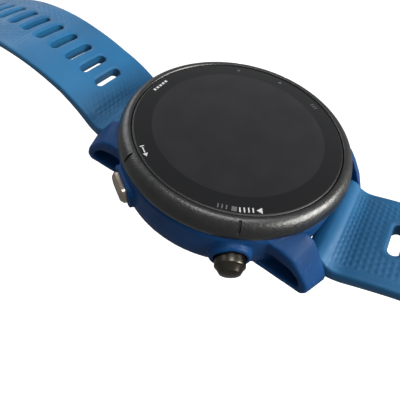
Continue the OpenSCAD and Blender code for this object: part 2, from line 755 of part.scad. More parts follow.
module buckle_tongue() {
    top = buckle_top - end_barrel_r;
    color([0.6, 0.6, 0.62]) translate([0, buckle_y, buckle_z]) difference() {
        union() {
            x_rod(buckle_pin_r + 0.8, tongue_w);
            rotate([90, 0, 90]) linear_extrude(tongue_w, center = true) polygon([[0, -0.8], [1.4, -0.8],
                [buckle_l - crossbar - 0.6, top - 0.55], [buckle_l - crossbar - 0.3, top - 0.4],
                [buckle_l - 0.4, top - 0.4], [buckle_l, top], [buckle_l - 0.6, top + 0.7],
                [buckle_l - crossbar, top + 0.9], [0, buckle_pin_r + 0.8]]);
        }
        x_rod(buckle_pin_r + run_gap, tongue_w + 1);
    }
}

case_body();
bezel();
lens();
lens_gasket();
display_panel();
display_frame();
gps_antenna();
main_board();
shield_cans();
battery_tray();
battery();
vibration_motor();
buzzer();
switch_flex();
sensor_board();
sensor_window();
back_cover();
cover_gasket();
back_screws();
charge_port();
charge_pins();
button_seals();
round_button(start_a);  // start_button
bar_button(back_a);  // back_button
bar_button(light_a);  // light_button
bar_button(up_a);  // up_button
bar_button(down_a);  // down_button
clip(start_a);  // start_clip
clip(back_a);  // back_clip
clip(light_a);  // light_clip
clip(up_a);  // up_clip
clip(down_a);  // down_clip
band_long_root();
band_long_tip();
six_side() bar_tube();  // bar_tube_6
six_side() fixed_pin();  // fixed_pin_6
six_side() release_pin();  // release_pin_6
six_side() bar_spring();  // bar_spring_6
band_short_root();
band_short_tip();
bar_tube();  // bar_tube_12
fixed_pin();  // fixed_pin_12
release_pin();  // release_pin_12
bar_spring();  // bar_spring_12
keeper_fixed();
keeper_sliding();
buckle_frame();
buckle_bar();
buckle_tongue();
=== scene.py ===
import math

import bmesh
import bpy
import numpy as np
from mathutils import Matrix, Vector


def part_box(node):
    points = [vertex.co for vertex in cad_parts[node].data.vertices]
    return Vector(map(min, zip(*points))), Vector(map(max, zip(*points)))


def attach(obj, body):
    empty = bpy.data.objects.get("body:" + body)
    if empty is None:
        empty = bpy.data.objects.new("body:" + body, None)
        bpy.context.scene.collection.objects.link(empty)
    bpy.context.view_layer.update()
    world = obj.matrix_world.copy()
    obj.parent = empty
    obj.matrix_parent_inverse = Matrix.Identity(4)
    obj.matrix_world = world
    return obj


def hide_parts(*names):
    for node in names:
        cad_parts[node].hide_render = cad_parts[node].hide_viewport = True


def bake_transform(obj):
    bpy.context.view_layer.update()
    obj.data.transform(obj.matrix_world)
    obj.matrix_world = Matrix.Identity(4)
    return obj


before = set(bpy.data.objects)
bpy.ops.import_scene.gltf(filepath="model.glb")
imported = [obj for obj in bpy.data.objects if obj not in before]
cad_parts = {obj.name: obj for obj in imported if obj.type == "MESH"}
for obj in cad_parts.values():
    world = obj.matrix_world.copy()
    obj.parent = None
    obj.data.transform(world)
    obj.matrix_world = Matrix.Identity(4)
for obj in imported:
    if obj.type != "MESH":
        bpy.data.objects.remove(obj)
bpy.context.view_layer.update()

MM = 0.001


# ---------------------------------------------------------------- sizes, from the frame, in mm

def box_mm(node):
    low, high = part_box(node)
    return np.array(low) / MM, np.array(high) / MM


SKIRT_H = 1.5           # the bezel's skirt, below the case's rim
PANEL_EDGE = 0.4        # inset of the visible display from the panel's edge
BEZEL_LOW, BEZEL_HIGH = box_mm("bezel")
LENS_HIGH = box_mm("lens")[1]
CASE_R = BEZEL_HIGH[0]
Z_TOP = BEZEL_HIGH[2]
LENS_R = LENS_HIGH[0]
Z_LENS = LENS_HIGH[2]
Z_RIM = BEZEL_LOW[2] + SKIRT_H
DISPLAY_R = box_mm("display_panel")[1][0] - PANEL_EDGE
SENSOR_R = box_mm("sensor_window")[1][0]
BUTTON_Z = (box_mm("start_button")[0][2] + box_mm("start_button")[1][2]) / 2
CAP_BACK = CASE_R - 0.7
STEM_END = CASE_R - 4.5
STEM_R = 1.08

START_A, BACK_A, LIGHT_A, UP_A, DOWN_A = 30, -30, 150, 180, 210
KEY_ANGLES = {"start": START_A, "back": BACK_A, "light": LIGHT_A, "up": UP_A, "down": DOWN_A}

# The band's arcs: [length, start slope, end slope], from the spring bar
BAR_Y, BAR_Z = 24.8, 3.1
LONG_PATH = [[2.2, 0, 0], [3.6, 0, 36], [7, 36, 21], [20, 21, 0], [17, 0, -16], [23.15, -16, -16],
             [8, -16, 0], [30, 0, 0]]
SHORT_PATH = [[2.2, 0, 0], [3, 0, 26], [6, 26, 22], [18, 22, 0], [12, 0, -14], [23.68, -14, -14],
              [4.4, -14, 0], [4, 0, 0]]
BAND_T, BAND_CROWN = 2.6, 0.9
BAND_W, BAND_ROOT_W = 20.6, 22.3
SHOULDER_L = 12.0
BARREL_R, END_BARREL_R, ROOT_R = 2.1, 1.9, 2.5
BORE_R, PIN_BORE_R = 0.95, 0.8
LEVER_X = 7.2           # the quick-release lever, from the band's middle
NOTCH_HALF = 1.6        # half the width of the tongue's notch
FLEX_REACH = 12         # the visible band bends this far either side of a flex joint
SLOT_FIRST, SLOT_PITCH, SLOT_L, SLOT_W = 11.0, 4.4, 7.5, 2.0
LONG_SLOTS, SHORT_SLOTS = 19, 3
LONG_FLEX_S = SLOT_FIRST + 5.5 * SLOT_PITCH
SHORT_FLEX_S = SLOT_FIRST + 4.5 * SLOT_PITCH


# ---------------------------------------------------------------- materials

def srgb(r, g, b):
    """Linear colour of an sRGB one given in 0 to 255."""
    def one(v):
        v /= 255
        return v / 12.92 if v <= 0.04045 else ((v + 0.055) / 1.055) ** 2.4
    return (one(r), one(g), one(b), 1.0)


class Graph:
    """A material's node tree, with short calls to add and join nodes."""

    def __init__(self, name):
        self.material = bpy.data.materials.new(name)
        self.material.use_nodes = True
        self.tree = self.material.node_tree
        self.shader = self.tree.nodes["Principled BSDF"]
        self.place = self.tree.nodes.new("ShaderNodeTexCoord").outputs["Object"]

    def node(self, kind, **values):
        made = self.tree.nodes.new(kind)
        for key, value in values.items():
            if hasattr(made, key):
                setattr(made, key, value)
            else:
                made.inputs[key.replace("_", " ").title()].default_value = value
        return made

    def join(self, source, target):
        self.tree.links.new(source, target)

    def noise(self, size_mm, detail=3.0, rough=0.55, stretch=None, offset=0.0):
        """Noise whose features are about size_mm across."""
        source = self.place
        if stretch or offset:
            mapping = self.node("ShaderNodeMapping")
            mapping.inputs["Scale"].default_value = stretch or (1, 1, 1)
            mapping.inputs["Location"].default_value = (offset, offset, 0)
            self.join(source, mapping.inputs["Vector"])
            source = mapping.outputs["Vector"]
        made = self.node("ShaderNodeTexNoise", Scale=1 / (size_mm * MM), Detail=detail, Roughness=rough)
        self.join(source, made.inputs["Vector"])
        return made.outputs["Fac"]

    def cells(self, size_mm, feature="F1", randomness=1.0):
        made = self.node("ShaderNodeTexVoronoi", feature=feature, Scale=1 / (size_mm * MM))
        made.inputs["Randomness"].default_value = randomness
        self.join(self.place, made.inputs["Vector"])
        return made.outputs["Distance"]

    def ramp(self, source, low, high, to_low=0.0, to_high=1.0, smooth=True):
        made = self.node("ShaderNodeMapRange")
        if smooth:
            made.interpolation_type = "SMOOTHSTEP"
        for socket, value in zip(("From Min", "From Max", "To Min", "To Max"), (low, high, to_low, to_high)):
            made.inputs[socket].default_value = value
        self.join(source, made.inputs["Value"])
        return made.outputs["Result"]

    def mix(self, factor, a, b):
        """Colour a where factor is 0 and b where it is 1; a and b are colours or sockets."""
        made = self.node("ShaderNodeMix", data_type="RGBA")
        self.join(factor, made.inputs["Factor"])
        for socket, value in (("A", a), ("B", b)):
            target = [i for i in made.inputs if i.name == socket and i.type == "RGBA"][0]
            if isinstance(value, tuple):
                target.default_value = value
            else:
                self.join(value, target)
        return [o for o in made.outputs if o.type == "RGBA"][0]

    def maths(self, operation, a, b=None):
        made = self.node("ShaderNodeMath", operation=operation)
        for socket, value in zip(made.inputs, (a, b)):
            if value is None:
                continue
            if isinstance(value, (int, float)):
                socket.default_value = value
            else:
                self.join(value, socket)
        return made.outputs["Value"]

    def bump(self, height, depth_mm, before=None, strength=1.0):
        made = self.node("ShaderNodeBump", Strength=strength)
        made.inputs["Distance"].default_value = depth_mm * MM
        self.join(height, made.inputs["Height"])
        if before:
            self.join(before, made.inputs["Normal"])
        return made.outputs["Normal"]

    def axes(self):
        """The place's X, Y and Z, in metres."""
        apart = self.node("ShaderNodeSeparateXYZ")
        self.join(self.place, apart.inputs["Vector"])
        return apart.outputs

    def radius(self):
        """Distance from the case's axis, in metres."""
        axes = self.axes()
        squares = [self.maths("POWER", axes[name], 2.0) for name in ("X", "Y")]
        return self.maths("SQRT", self.maths("ADD", *squares))

    def set(self, **values):
        names = {"metallic": "Metallic", "coat": "Coat Weight", "coat_rough": "Coat Roughness",
                 "specular": "Specular IOR Level", "sheen": "Sheen Weight", "sheen_rough": "Sheen Roughness"}
        for key, value in values.items():
            self.shader.inputs[names[key]].default_value = value

    def finish(self, colour, rough, normal=None):
        self.join(colour, self.shader.inputs["Base Color"])
        self.join(rough, self.shader.inputs["Roughness"])
        if normal:
            self.join(normal, self.shader.inputs["Normal"])
        return self.material


def shade(colour, factor):
    return tuple(c * factor for c in colour[:3]) + (1.0,)


def moulded(name, colour, rough, grain_mm=0.12, grain_depth=0.006, vary=0.12, wear=0.0, **values):
    """Moulded plastic or rubber: fine even grain, faint clouds of colour and gloss, paler worn edges."""
    g = Graph(name)
    clouds = g.noise(6.0, detail=4)
    tone = g.mix(g.ramp(clouds, 0.3, 0.7), shade(colour, 1 - vary), shade(colour, 1 + vary))
    if wear:
        edge = g.node("ShaderNodeNewGeometry").outputs["Pointiness"]
        patch = g.maths("MULTIPLY", g.ramp(edge, 0.52, 0.60), g.ramp(g.noise(1.6), 0.35, 0.65, 0.3, 1.0))
        tone = g.mix(g.maths("MULTIPLY", patch, wear), tone, shade(colour, 2.2))
    smudge = g.ramp(g.noise(3.5, offset=0.4), 0.3, 0.7, rough - 0.05, rough + 0.06)
    normal = g.bump(g.noise(grain_mm, detail=2), grain_depth)
    g.set(**values)
    return g.finish(tone, smudge, normal)


def metal(name, colour, rough, brushed=None, vary=0.06):
    """Metal with fine scratches along one direction, or a soft blasted grain."""
    g = Graph(name)
    grain = g.noise(0.25, detail=4, stretch=brushed) if brushed else g.noise(0.1, detail=3)
    tone = g.mix(g.ramp(g.noise(2.5), 0.3, 0.7), shade(colour, 1 - vary), shade(colour, 1 + vary))
    gloss = g.ramp(grain, 0.3, 0.7, rough * 0.8, rough * 1.25)
    g.set(metallic=1.0)
    return g.finish(tone, gloss, g.bump(grain, 0.0015))


def band_silicone():
    """Matt blue silicone: skin-fine grain, dust in the hollows and a soft sheen."""
    g = Graph("band_silicone")
    blue, deep = srgb(18, 89, 132), srgb(14, 79, 121)
    tone = g.mix(g.ramp(g.noise(14.0, detail=3), 0.3, 0.7), deep, blue)
    dust = g.maths("MULTIPLY", g.ramp(g.noise(0.7, detail=5, rough=0.7), 0.62, 0.78), 0.10)
    tone = g.mix(dust, tone, srgb(150, 175, 195))
    gloss = g.ramp(g.noise(4.0), 0.3, 0.7, 0.46, 0.60)
    fine = g.bump(g.noise(0.09, detail=2), 0.006)
    normal = g.bump(g.noise(1.1, detail=2), 0.01, before=fine, strength=0.5)
    g.set(sheen=0.05, sheen_rough=0.5, specular=0.3)
    return g.finish(tone, gloss, normal)


def case_polymer():
    """Satin blue reinforced polymer with a fine spark-eroded grain."""
    g = Graph("case_polymer")
    tone = g.mix(g.ramp(g.noise(9.0, detail=4), 0.3, 0.7), srgb(7, 51, 96), srgb(10, 58, 106))
    # Painted highlight: convex edges, such as the rims of the lugs, are painted a lighter blue
    edge = g.node("ShaderNodeNewGeometry").outputs["Pointiness"]
    tone = g.mix(g.ramp(edge, 0.53, 0.64, 0.0, 0.25), tone, srgb(40, 86, 146))
    gloss = g.ramp(g.noise(2.5), 0.3, 0.7, 0.46, 0.56)
    normal = g.bump(g.noise(0.14, detail=2), 0.008)
    g.set(specular=0.15)
    return g.finish(tone, gloss, normal)


def bezel_polymer():
    """Black fibre-reinforced polymer: leathery grain, with a few rubbed spots on its shoulder."""
    g = Graph("bezel_polymer")
    edge = g.node("ShaderNodeNewGeometry").outputs["Pointiness"]
    tone = g.mix(g.ramp(g.noise(2.2, detail=5), 0.3, 0.7), srgb(13, 13, 14), srgb(19, 19, 19))
    rubbed = g.maths("MULTIPLY", g.ramp(g.noise(1.1, detail=5, rough=0.7, offset=0.2), 0.60, 0.72),
                     g.ramp(edge, 0.50, 0.56))
    tone = g.mix(g.maths("MULTIPLY", rubbed, 0.35), tone, srgb(84, 82, 78))
    # Painted reflection: a lighter olive-grey band low on the skirt stands in for the light floor reflected
    # in its near-vertical facet
    painted_reflection_band = g.ramp(g.axes()["Z"], (Z_RIM + 0.3) * MM, (Z_RIM + 0.6) * MM, 0.7, 0.0)
    tone = g.mix(painted_reflection_band, tone, srgb(62, 62, 54))
    gloss = g.ramp(g.noise(0.9, detail=4), 0.3, 0.7, 0.30, 0.40)
    leather = g.bump(g.cells(0.36, feature="SMOOTH_F1"), 0.030)
    normal = g.bump(g.noise(0.22, detail=3), 0.012, before=leather)
    g.set(specular=0.75)
    return g.finish(tone, gloss, normal)


def lens_glass():
    """Strengthened glass over a black border and the resting display, with faint finger marks."""
    g = Graph("lens_glass")
    inside = g.ramp(g.radius(), (DISPLAY_R - 0.12) * MM, (DISPLAY_R + 0.12) * MM, 1.0, 0.0)
    panel = g.mix(g.ramp(g.noise(7.0, detail=2), 0.3, 0.7), srgb(22, 20, 24), srgb(27, 25, 28))
    tone = g.mix(inside, srgb(9, 9, 11), panel)
    streaks = g.noise(9.0, detail=5, rough=0.65, stretch=(1, 0.5, 1))
    smear = g.maths("MULTIPLY", streaks, g.noise(2.6, detail=3))
    gloss = g.ramp(smear, 0.16, 0.40, 0.05, 0.16)
    ground = g.ramp(g.radius(), (LENS_R - 0.45) * MM, (LENS_R - 0.3) * MM, 0.0, 0.5)
    gloss = g.maths("MAXIMUM", gloss, ground)
    g.set(specular=0.5)
    return g.finish(tone, gloss, g.bump(g.noise(20.0, detail=1), 0.004))


def circuit_board():
    g = Graph("circuit_board")
    tracks = g.ramp(g.cells(1.1, feature="DISTANCE_TO_EDGE", randomness=0.7), 0.02, 0.05)
    tone = g.mix(tracks, srgb(60, 130, 90), srgb(18, 74, 50))
    gloss = g.ramp(g.noise(1.0), 0.3, 0.7, 0.35, 0.5)
    return g.finish(tone, gloss, g.bump(tracks, 0.02))


def floor_paper():
    g = Graph("floor_paper")
    tone = g.mix(g.ramp(g.noise(120.0), 0.3, 0.7), (0.30, 0.30, 0.30, 1), (0.32, 0.32, 0.32, 1))
    g.shader.inputs["Emission Color"].default_value = (1.0, 1.0, 1.0, 1.0)
    g.shader.inputs["Emission Strength"].default_value = 0.80
    # From below the paper isn't there, so the back of the watch can be seen
    below = g.node("ShaderNodeNewGeometry").outputs["Backfacing"]
    g.join(g.maths("SUBTRACT", 1.0, below), g.shader.inputs["Alpha"])
    return g.finish(tone, g.ramp(g.noise(30.0), 0.3, 0.7, 0.85, 0.95), g.bump(g.noise(0.8), 0.01))


MATERIAL = {
    "case_polymer": case_polymer(),
    "bezel_polymer": bezel_polymer(),
    "lens_glass": lens_glass(),
    "band_silicone": band_silicone(),
    "circuit_board": circuit_board(),
    "display_face": moulded("display_face", srgb(38, 36, 42), 0.3, vary=0.05),
    "black_rubber": moulded("black_rubber", srgb(26, 26, 27), 0.7, grain_depth=0.01),
    "red_rubber": moulded("red_rubber", srgb(150, 48, 36), 0.6, grain_depth=0.01),
    "frame_polymer": moulded("frame_polymer", srgb(58, 58, 62), 0.5),
    "cover_polymer": moulded("cover_polymer", srgb(30, 31, 34), 0.42, grain_mm=0.2, grain_depth=0.012,
                             wear=0.3),
    "sensor_glass": moulded("sensor_glass", srgb(12, 12, 14), 0.12, grain_mm=3.0, grain_depth=0.002,
                            coat=0.6, coat_rough=0.04),
    "flex_film": moulded("flex_film", srgb(190, 112, 40), 0.35, vary=0.2, coat=0.4),
    "cell_foil": metal("cell_foil", srgb(170, 174, 180), 0.3, vary=0.12),
    "tinned_steel": metal("tinned_steel", srgb(186, 186, 188), 0.32),
    "antenna_metal": metal("antenna_metal", srgb(205, 168, 110), 0.3),
    "screw_steel": metal("screw_steel", srgb(96, 98, 102), 0.3),
    "contact_gold": metal("contact_gold", srgb(226, 188, 104), 0.22),
    "start_metal": metal("start_metal", srgb(74, 70, 64), 0.27, vary=0.1),
    "key_metal": metal("key_metal", srgb(168, 156, 144), 0.26, brushed=(6, 6, 1), vary=0.08),
    "bar_steel": metal("bar_steel", srgb(180, 180, 184), 0.24, brushed=(0.2, 4, 4)),
    "buckle_polymer": moulded("buckle_polymer", srgb(34, 38, 46), 0.36, grain_depth=0.005, wear=0.5),
}


# ---------------------------------------------------------------- mesh helpers

def dress(obj, slot, body=None, material=None):
    """Gives a piece its material, the one named by slot unless one is given, and its body."""
    obj.data.materials.clear()
    obj.data.materials.append(material or MATERIAL[slot])
    if body:
        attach(obj, body)
    return obj


def build(name, points, faces, crease=35.0):
    """A smooth-shaded mesh from points in mm."""
    mesh = bpy.data.meshes.new(name)
    mesh.from_pydata((np.asarray(points, float) * MM).tolist(), [], [list(f) for f in faces])
    work = bmesh.new()
    work.from_mesh(mesh)
    bmesh.ops.remove_doubles(work, verts=work.verts, dist=1e-7)
    bmesh.ops.recalc_face_normals(work, faces=work.faces)
    work.to_mesh(mesh)
    work.free()
    obj = bpy.data.objects.new(name, mesh)
    bpy.context.scene.collection.objects.link(obj)
    smooth(obj, crease)
    return obj


def smooth(obj, crease=35.0):
    obj.data.polygons.foreach_set("use_smooth", [True] * len(obj.data.polygons))
    obj.data.set_sharp_from_angle(angle=math.radians(crease))
    obj.data.update()


def skin(rings, closed_ends=True):
    """Faces of a tube through equal rings of points; both ends closed with a fan to their middle."""
    rings = [np.asarray(r, float) for r in rings]
    n = len(rings[0])
    points = np.concatenate(rings)
    faces = []
    for i in range(len(rings) - 1):
        a = i * n
        for j in range(n):
            k = (j + 1) % n
            faces.append((a + j, a + k, a + n + k, a + n + j))
    if closed_ends:
        first, last, base = len(points), len(points) + 1, (len(rings) - 1) * n
        points = np.concatenate([points, [rings[0].mean(0), rings[-1].mean(0)]])
        for j in range(n):
            k = (j + 1) % n
            faces.append((first, k, j))
            faces.append((last, base + j, base + k))
    return points, faces


def gather(parts):
    """One point list and one face list out of several."""
    points, faces, start = [], [], 0
    for p, f in parts:
        points.append(np.asarray(p, float))
        faces += [tuple(i + start for i in face) for face in f]
        start += len(p)
    return np.concatenate(points), faces


def lathe(profile, angles=None, close=True):
    """Profile points (radius, height) turned round Z."""
    angles = np.radians(np.arange(0, 360, 2.5) if angles is None else angles)
    rings = [np.stack([r * np.cos(angles), r * np.sin(angles), np.full(len(angles), z)], 1)
             for r, z in profile]
    if close:
        return skin(rings + rings[:1], closed_ends=False)
    return skin(rings)


def stadium(length, width, steps=14):
    """Outline with round short ends: length along x, width along y."""
    r = width / 2
    ends = []
    for side, from_a in ((1, -90), (-1, 90)):
        for a in np.radians(np.linspace(from_a, from_a + 180, steps)):
            ends.append((side * (length / 2 - r) + r * math.cos(a), r * math.sin(a)))
    return np.array(ends)


def level(outline, z):
    """A flat outline as a ring at height z."""
    return np.concatenate([outline, np.full((len(outline), 1), z)], 1)


def prism(outline, low, high):
    """A flat outline carried from one height to another, closed at both ends."""
    return skin([level(outline, z) for z in (low, high)])


def rod(x_reach, y, z, r):
    """A round rod along x."""
    turn = np.radians(np.arange(0, 360, 12))
    return skin([np.stack([np.full(len(turn), x), y + r * np.cos(turn), z + r * np.sin(turn)], 1)
                 for x in (-x_reach, x_reach)])


def block(x0, x1, y0, y1, z0, z1):
    return prism(np.array([(x0, y0), (x1, y0), (x1, y1), (x0, y1)]), z0, z1)


def outward(points, angle):
    """Points drawn with +Z out of the case, x round it and y up, put at a button's place."""
    points = np.asarray(points, float)
    a = math.radians(angle)
    out = np.array([math.cos(a), math.sin(a), 0.0])
    around = np.array([-math.sin(a), math.cos(a), 0.0])
    up = np.array([0.0, 0.0, 1.0])
    place = np.array([0, 0, BUTTON_Z])
    return points[:, :1] * around + points[:, 1:2] * up + points[:, 2:3] * out + place


def cut(obj, cutter):
    """Takes the cutter out of obj, and removes the cutter."""
    made = obj.modifiers.new("cut", "BOOLEAN")
    made.operation = "DIFFERENCE"
    made.object = cutter
    made.solver = "MANIFOLD"
    apply_modifiers(obj)
    bpy.data.objects.remove(cutter)


def apply_modifiers(obj):
    graph = bpy.context.evaluated_depsgraph_get()
    mesh = bpy.data.meshes.new_from_object(obj.evaluated_get(graph))
    obj.modifiers.clear()
    obj.data = mesh


LOOSE_ROUNDS = 26


def softened(name, node, voxel, rounds, loose=None):
    """A new piece from a CAD node's own shape, its edges rounded as moulding leaves them.
    loose(points in mm) gives a share from 0 to 1 that is relaxed much further."""
    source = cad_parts[node]
    obj = bpy.data.objects.new(name, source.data.copy())
    bpy.context.scene.collection.objects.link(obj)
    weld = obj.modifiers.new("weld", "WELD")
    weld.merge_threshold = 1e-6
    remesh = obj.modifiers.new("remesh", "REMESH")
    remesh.mode = "VOXEL"
    remesh.voxel_size = voxel * MM
    apply_modifiers(obj)
    relax(obj, rounds)
    if loose:
        points = np.array([v.co for v in obj.data.vertices]) / MM
        relax(obj, LOOSE_ROUNDS, loose(points))
    smooth(obj, 180)
    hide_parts(node)
    return obj


def relax(obj, rounds, share=None):
    made = obj.modifiers.new("relax", "SMOOTH")
    made.factor = 0.5
    made.iterations = rounds
    if share is not None:
        group = obj.vertex_groups.new(name="loose")
        steps = np.round(share * 10).astype(int)
        for level in range(1, 11):
            group.add(np.nonzero(steps == level)[0].tolist(), level / 10, "REPLACE")
        made.vertex_group = "loose"
    apply_modifiers(obj)
    obj.vertex_groups.clear()


def keep(node, slot, bevel=0.0):
    """A CAD node that stays, with its edges broken and its real material."""
    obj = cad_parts[node]
    if "custom_normal" in obj.data.attributes:
        obj.data.attributes.remove(obj.data.attributes["custom_normal"])
    weld = obj.modifiers.new("weld", "WELD")
    weld.merge_threshold = 1e-6
    if bevel:
        made = obj.modifiers.new("bevel", "BEVEL")
        made.width = bevel * MM
        made.segments = 2
        made.limit_method = "ANGLE"
        made.angle_limit = math.radians(35)
        made.use_clamp_overlap = True
        made.harden_normals = True
    obj.data.polygons.foreach_set("use_smooth", [True] * len(obj.data.polygons))
    dress(obj, slot)
    return obj


# ---------------------------------------------------------------- case, bezel and lens

def soft_step(v, low, high):
    k = np.clip((v - low) / (high - low), 0, 1)
    return k * k * (3 - 2 * k)


def lug_share(points):
    """1 on the outer slopes of the lugs, 0 on the case, its collars and the faces next to the band."""
    x, y, z = points.T
    beyond = soft_step(np.hypot(x, y), CASE_R + 0.3, CASE_R + 1.6)
    off_channel = soft_step(np.abs(x), 11.25, 11.9)
    return beyond * off_channel * (np.abs(y) > 11) * soft_step(z, 1.2, 2.6)


dress(softened("case_shell", "case_body", 0.22, 4, lug_share), "case_polymer", "case")


def bezel_profile():
    """Closed outline of the bezel, from its inner edge over the shoulder to the skirt."""
    top_r, side_z, seat_r = CASE_R - 2.2, Z_RIM + 0.95, LENS_R + 0.1
    outline = [(seat_r, Z_LENS - 0.9), (seat_r, Z_TOP - 0.30), (seat_r + 0.04, Z_TOP - 0.19),
               (seat_r + 0.13, Z_TOP - 0.08), (seat_r + 0.26, Z_TOP - 0.02), (top_r, Z_TOP - 0.005)]
    for t in np.radians(np.arange(4, 86, 4.1)):
        outline.append((top_r + (CASE_R - top_r) * math.sin(t),
                        side_z + (Z_TOP - side_z) * math.cos(t) ** 1.35))
    outline += [(CASE_R, side_z + 0.05), (CASE_R, side_z - 0.02), (CASE_R - 0.10, Z_RIM + 0.30),
                (CASE_R - 0.16, Z_RIM + 0.16), (CASE_R - 0.34, Z_RIM + 0.08),
                (CASE_R - 1.6, Z_RIM + 0.05), (CASE_R - 1.6, Z_RIM - SKIRT_H),
                (CASE_R - 2.5, Z_RIM - SKIRT_H),
                (CASE_R - 2.5, Z_LENS - 2.5), (LENS_R - 1.1, Z_LENS - 2.5), (LENS_R - 1.1, Z_LENS - 1.4),
                (seat_r, Z_LENS - 1.4)]
    return outline


TICK_HALF, TICK_EDGE, TICK_DEPTH = 0.56, 0.12, 0.28     # degrees, degrees, mm
SHOULDER_TILT = math.radians(49)


def bezel():
    """The bezel, with an engraved tick beside each button."""
    near = [d * s for d in (0.0, 0.25, 0.42, 0.5, 0.62, 0.8) for s in (-1, 1)]
    angles = set(np.arange(0, 360, 1.0).round(3))
    for a in KEY_ANGLES.values():
        angles |= {round((a + d) % 360, 3) for d in near}
    angles = np.array(sorted(angles))
    points, faces = lathe(bezel_profile(), angles)
    # The shoulder is pressed in along its own normal
    r = np.hypot(points[:, 0], points[:, 1])
    a = np.degrees(np.arctan2(points[:, 1], points[:, 0]))
    for tick in KEY_ANGLES.values():
        off = np.abs((a - tick + 180) % 360 - 180)
        side = np.clip((TICK_HALF - off) / TICK_EDGE, 0, 1)
        along = np.clip((r - (CASE_R - 1.75)) / 0.25, 0, 1) * np.clip((CASE_R - 0.12 - r) / 0.2, 0, 1)
        on_top = points[:, 2] > Z_RIM + 1.0
        depth = TICK_DEPTH * side * along * on_top
        points[:, 0] -= depth * math.sin(SHOULDER_TILT) * np.cos(np.radians(a))
        points[:, 1] -= depth * math.sin(SHOULDER_TILT) * np.sin(np.radians(a))
        points[:, 2] -= depth * math.cos(SHOULDER_TILT)
    obj = build("bezel_ring", points, faces, 24)
    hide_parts("bezel")
    return dress(obj, "bezel_polymer", "case")


bezel()

lens = build("lens_glass", *lathe(
    [(0.001, Z_LENS - 1.2), (LENS_R - 0.02, Z_LENS - 1.2), (LENS_R, Z_LENS - 1.15), (LENS_R, Z_LENS - 0.22),
     (LENS_R - 0.03, Z_LENS - 0.14), (LENS_R - 0.13, Z_LENS - 0.05), (LENS_R - 0.24, Z_LENS - 0.012),
     (LENS_R - 0.4, Z_LENS), (12, Z_LENS), (6, Z_LENS), (0.001, Z_LENS)], close=False), crease=25)
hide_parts("lens")
dress(lens, "lens_glass", "case")


# ---------------------------------------------------------------- printed marks on the display border

PRINT_HALF = 0.006      # half the thickness of the print
MARK_NEAR, MARK_FAR, MARK_SIX = 19.0, 18.5, 18.7


def flat_patch(outline, z, angle, r):
    """A thin print: outline in mm, x round the dial and y outwards, placed at an angle and radius."""
    a = math.radians(angle)
    out = np.array([math.cos(a), math.sin(a)])
    around = np.array([math.sin(a), -math.cos(a)])
    ring = np.array([x * around + (r + y) * out for x, y in outline])
    return prism(ring, z - PRINT_HALF, z + PRINT_HALF)


def bar(x, y, w, h):
    return [(x - w / 2, y - h / 2), (x + w / 2, y - h / 2), (x + w / 2, y + h / 2), (x - w / 2, y + h / 2)]


def triangle(x, y, size, turn):
    return [(x + size * math.cos(a), y + size * math.sin(a))
            for a in (math.radians(turn + k * 120) for k in range(3))]


def mark(name, parts, angle, r, material):
    pieces = [flat_patch(p, Z_LENS, angle, r) for p in parts]
    obj = build(name, *gather(pieces))
    return dress(obj, "lens_glass", "case", material)


print_white = moulded("print_white", srgb(176, 176, 178), 0.45, grain_mm=0.06, grain_depth=0.002)
print_grey = moulded("print_grey", srgb(78, 77, 80), 0.45, grain_mm=0.06, grain_depth=0.002)
mark("mark_start", [triangle(-1.7, 0, 0.62, 0)] + [bar(x, 0, 0.22, 0.9) for x in (-0.55, 0.15, 0.85, 1.55)],
     START_A + 4.5, MARK_NEAR, print_white)
mark("mark_stop", [bar(-1.2, 0, 0.85, 0.85)] + [bar(x, 0, 0.2, 0.8) for x in (0.0, 0.7, 1.35)],
     START_A - 6.5, MARK_NEAR, print_grey)
mark("mark_back", [triangle(-1.1, 0, 0.5, 180), bar(0.0, 0, 1.3, 0.2), bar(0.9, 0, 0.2, 0.75)],
     BACK_A - 1, MARK_NEAR, print_white)
mark("mark_light", [bar(k * 0.6, 0, 0.2, 0.8) for k in (-1, 0, 1)], LIGHT_A, MARK_FAR, print_grey)
mark("mark_up", [triangle(0, 0, 0.5, 90)], UP_A, MARK_FAR, print_grey)
mark("mark_down", [triangle(0, 0, 0.5, 270)], DOWN_A, MARK_FAR, print_grey)
mark("mark_six", [bar(k * 0.9, 0, 0.55, 0.55) for k in (-2, -1, 0, 1, 2)], 271, MARK_SIX, print_white)


# ---------------------------------------------------------------- buttons

def start_cap():
    """Round cap: a rounded rim, a cone and a slightly domed face."""
    top = CASE_R + 4.0
    r = 2.66
    profile = [(0.001, STEM_END), (1.0, STEM_END), (STEM_R, STEM_END + 0.1), (STEM_R, CAP_BACK),
               (r, CAP_BACK), (r, top - 2.55), (r, top - 1.62), (r - 0.03, top - 1.50),
               (r - 0.10, top - 1.40), (r - 0.22, top - 1.32), (r - 0.30, top - 1.26),
               (r - 0.80, top - 0.42), (r - 0.86, top - 0.34), (r - 0.98, top - 0.28),
               (0.9, top - 0.05), (0.001, top)]
    points, faces = lathe(profile, np.arange(0, 360, 4.0), close=False)
    obj = build("start_cap", outward(points, START_A), faces, 24)
    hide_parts("start_button")
    return dress(obj, "start_metal", "start_key")


def round_rect(length, width, corner, steps=7):
    """Rectangle with round corners: length along x, width along y."""
    corner = max(corner, 0.05)
    points = []
    for k, (sx, sy) in enumerate(((1, -1), (1, 1), (-1, 1), (-1, -1))):
        for a in np.radians(np.linspace(-90 + 90 * k, 90 * k, steps)):
            points.append((sx * (length / 2 - corner) + corner * math.cos(a),
                           sy * (width / 2 - corner) + corner * math.sin(a)))
    return np.array(points)


